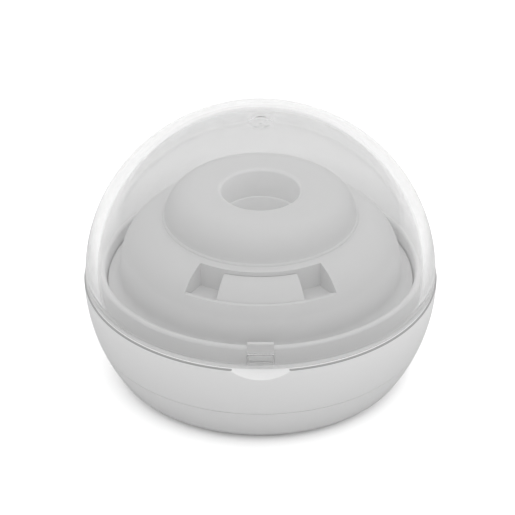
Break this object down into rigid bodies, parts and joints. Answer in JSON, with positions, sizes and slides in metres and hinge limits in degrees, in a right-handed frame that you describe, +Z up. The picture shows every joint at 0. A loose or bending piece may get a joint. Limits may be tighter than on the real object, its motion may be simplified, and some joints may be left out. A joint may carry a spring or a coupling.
{
  "type": "pacifier sterilizer case",
  "caption": "Round pacifier sterilizer case: white base bowl, thick clear hinged dome lid, tiered pedestal with a deep teat cup over a UV lamp, start key, battery bay underneath.",
  "frame": {"origin": "middle of the case's footprint on the table, under the middle of its box; the ball's axis is 1.8 mm in front of it", "axes": "+Z up, -Y the front with the latch and thumb scoop, +Y the hinge, X along the hinge pin"},
  "size_m": [0.11, 0.1134, 0.0873],
  "materials": {
    "clear_lid": "clear polished plastic",
    "white_shell": "satin moulded",
    "white_inner": "satin moulded",
    "gloss_cup": "high gloss",
    "clear_window": "clear",
    "lamp": "clear coated",
    "steel": "zinc plated",
    "magnet": "nickel plated",
    "black_plastic": "matt",
    "circuit_board": "solder mask",
    "cell_jacket": "printed jacket, bare",
    "lead_jacket": "wire jacket",
    "foot_rubber": "matt"
  },
  "bodies": {
    "base": {"base_shell": "white_shell", "bottom_cover": "white_shell", "deck_tray": "white_inner", "pedestal": "white_inner", "pedestal_screws": "steel", "hinge_pin": "steel", "button_springs": "steel", "button_switch": "black_plastic", "button_board": "circuit_board", "button_board_screws": "steel", "seat_crown": "white_inner", "indicator_pipe": "clear_window", "reflector_cup": "gloss_cup", "uv_window": "clear_window", "uv_led": "lamp", "main_board": "circuit_board", "board_parts": "black_plastic", "status_led": "lamp", "board_screws": "steel", "lid_sensor": "circuit_board", "batteries": "cell_jacket", "battery_springs": "steel", "battery_plates": "steel", "battery_leads": "lead_jacket", "housing_screws": "steel", "feet": "foot_rubber"},
    "lid": {"lid_dome": "clear_lid", "lid_magnet": "magnet"},
    "button": {"start_button": "white_inner"},
    "catch": {"lid_catch": "white_inner"},
    "door": {"battery_door": "white_shell", "door_screw": "steel"}
  },
  "joints": [
    {"name": "lid_hinge", "type": "hinge", "parent": "base", "child": "lid", "pos_m": [0, 0.0542, 0.0325], "axis": [-1, 0, 0], "range_deg": [0, 95]},
    {"name": "button_press", "type": "slide", "parent": "base", "child": "button", "axis": [0, 0, -1], "range_m": [0, 0.001], "stiffness_N_per_m": 400, "springref_m": -0.0005, "deforming": ["button_springs"]},
    {"name": "catch_flex", "type": "slide", "parent": "base", "child": "catch", "axis": [0, 1, 0], "range_m": [0, 0.0007], "stiffness_N_per_m": 600},
    {"name": "battery_door_hinge", "type": "hinge", "parent": "base", "child": "door", "pos_m": [0.0269, -0.0018, 0.0006], "axis": [0, -1, 0], "range_deg": [0, 70]}
  ]
}
